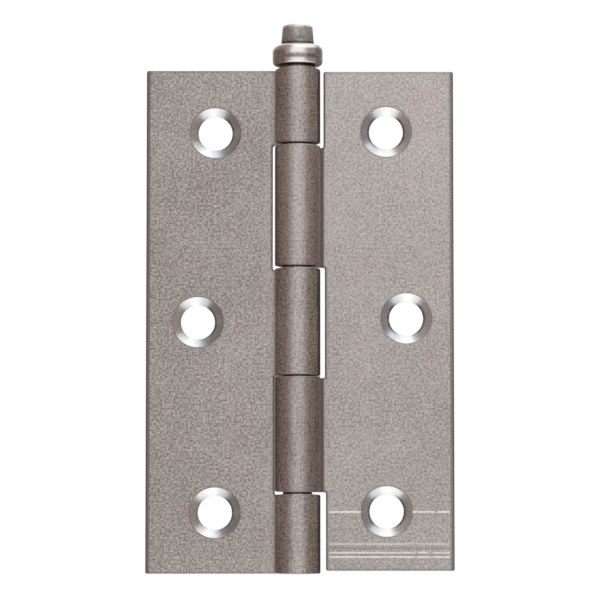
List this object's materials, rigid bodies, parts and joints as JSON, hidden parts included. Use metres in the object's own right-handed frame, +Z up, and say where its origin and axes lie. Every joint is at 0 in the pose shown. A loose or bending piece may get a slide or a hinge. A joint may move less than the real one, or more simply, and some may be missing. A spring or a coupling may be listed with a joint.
{
  "type": "loose pin butt hinge",
  "caption": "Flat steel butt hinge with interlocking rolled knuckles, countersunk leaves and a loose pin with a turned head that lifts out so the leaves part.",
  "frame": {"origin": "on the pin's axis, level with the foot of the barrel and the lower edge of the fixed leaf", "axes": "+Z up along the pin towards its head, +X from the pin towards the swing leaf with the hinge open flat, +Y into the surface behind the leaves"},
  "size_m": [0.0488, 0.008, 0.0869],
  "materials": {
    "leaf_steel": "dull warm grey sheet steel with a fine grain",
    "pin_steel": "turned steel, brighter than the leaves"
  },
  "bodies": {
    "fixed_leaf": {"fixed_leaf": "leaf_steel"},
    "swing_leaf": {"swing_leaf": "leaf_steel"},
    "pin": {"hinge_pin": "pin_steel"}
  },
  "joints": [
    {"name": "leaf_swing", "type": "hinge", "parent": "fixed_leaf", "child": "swing_leaf", "pos_m": [0, 0, 0], "axis": [0, 0, -1], "range_deg": [-90, 180]},
    {"name": "pin_lift", "type": "slide", "parent": "fixed_leaf", "child": "pin", "axis": [0, 0, 1], "range_m": [0, 0.085]}
  ]
}
